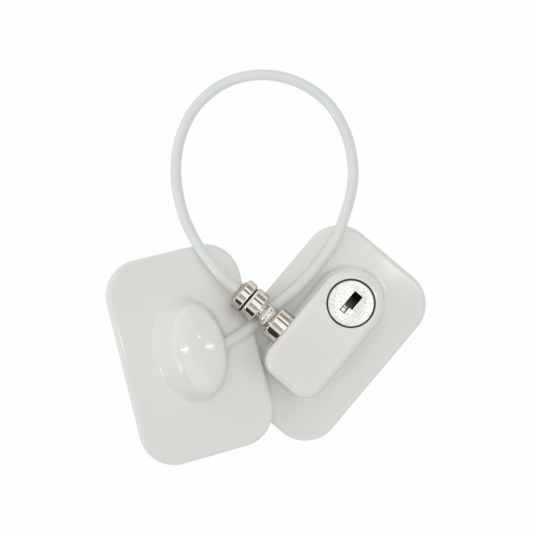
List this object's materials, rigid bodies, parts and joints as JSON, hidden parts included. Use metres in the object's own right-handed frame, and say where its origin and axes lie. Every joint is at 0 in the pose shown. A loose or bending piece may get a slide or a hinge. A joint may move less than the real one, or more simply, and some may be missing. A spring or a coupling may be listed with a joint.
{
  "type": "cabinet safety lock",
  "caption": "Stick-on cabinet safety lock: a keyed lock base and a domed anchor base, joined by a white cable loop whose metal plug seats in the lock body.",
  "frame": {"origin": "centre of the lock base's adhesive foam face", "axes": "+Z out of the lock base towards the key, +Y along its long side towards the cylinder, the plug enters from -X"},
  "size_m": [0.0996, 0.1204, 0.0273],
  "materials": {
    "white_plastic": "glossy warm white moulding",
    "back_plastic": "matt white moulding",
    "foam": "white adhesive foam",
    "steel": "plain steel",
    "zinc": "zinc die casting",
    "nickel": "polished nickel plate",
    "blasted_metal": "blasted satin nickel",
    "brass": "plain brass",
    "cable_plastic": "glossy white jacket with a faint green tint"
  },
  "bodies": {
    "lock": {"lock_cover": "white_plastic", "lock_back_plate": "back_plastic", "lock_foam_pad": "foam", "lock_screws": "steel", "cylinder_housing": "zinc", "housing_screws": "steel", "socket_bush": "nickel", "bush_nut": "steel"},
    "rotor": {"cylinder_rotor": "blasted_metal", "wafer_spring": "brass", "rotor_cam": "steel", "cam_clip": "steel"},
    "wafer_1": {"wafer_1": "steel"},
    "wafer_2": {"wafer_2": "steel"},
    "wafer_3": {"wafer_3": "steel"},
    "wafer_4": {"wafer_4": "steel"},
    "wafer_5": {"wafer_5": "steel"},
    "latch": {"latch_fork": "steel", "latch_pin": "steel"},
    "tether": {"crimp_sleeve": "nickel", "cable_jacket": "cable_plastic", "cable_core_ends": "steel", "anchor_cover": "white_plastic", "anchor_back_plate": "back_plastic", "anchor_foam_pad": "foam", "anchor_screws": "steel", "cable_ferrule": "zinc", "ferrule_clamp": "steel", "clamp_screws": "steel"},
    "plug": {"plug_pin": "nickel"}
  },
  "joints": [
    {"name": "plug_pull", "type": "slide", "parent": "lock", "child": "tether", "axis": [-1, 0, 0], "range_m": [0, 0.022]},
    {"name": "plug_swivel", "type": "hinge", "parent": "tether", "child": "plug", "pos_m": [-0.0245, -0.0067, 0.0145], "axis": [1, 0, 0], "continuous": true},
    {"name": "key_turn", "type": "hinge", "parent": "lock", "child": "rotor", "pos_m": [0, 0.0127, 0.0214], "axis": [0, 0, 1], "range_deg": [0, 90]},
    {"name": "latch_slide", "type": "slide", "parent": "lock", "child": "latch", "axis": [0, -1, 0], "range_m": [0, 0.0026]},
    {"name": "wafer_1_slide", "type": "slide", "parent": "rotor", "child": "wafer_1", "axis": [0, 1, 0], "range_m": [0, 0.0008]},
    {"name": "wafer_2_slide", "type": "slide", "parent": "rotor", "child": "wafer_2", "axis": [0, 1, 0], "range_m": [0, 0.0008]},
    {"name": "wafer_3_slide", "type": "slide", "parent": "rotor", "child": "wafer_3", "axis": [0, 1, 0], "range_m": [0, 0.0008]},
    {"name": "wafer_4_slide", "type": "slide", "parent": "rotor", "child": "wafer_4", "axis": [0, 1, 0], "range_m": [0, 0.0008]},
    {"name": "wafer_5_slide", "type": "slide", "parent": "rotor", "child": "wafer_5", "axis": [0, 1, 0], "range_m": [0, 0.0008]}
  ],
  "couplings": [
    {"joint": "latch_slide", "follows": "key_turn", "m_per_rad": 0.0016552},
    {"joint": "wafer_2_slide", "follows": "wafer_1_slide", "ratio": 1},
    {"joint": "wafer_3_slide", "follows": "wafer_1_slide", "ratio": 1},
    {"joint": "wafer_4_slide", "follows": "wafer_1_slide", "ratio": 1},
    {"joint": "wafer_5_slide", "follows": "wafer_1_slide", "ratio": 1}
  ]
}
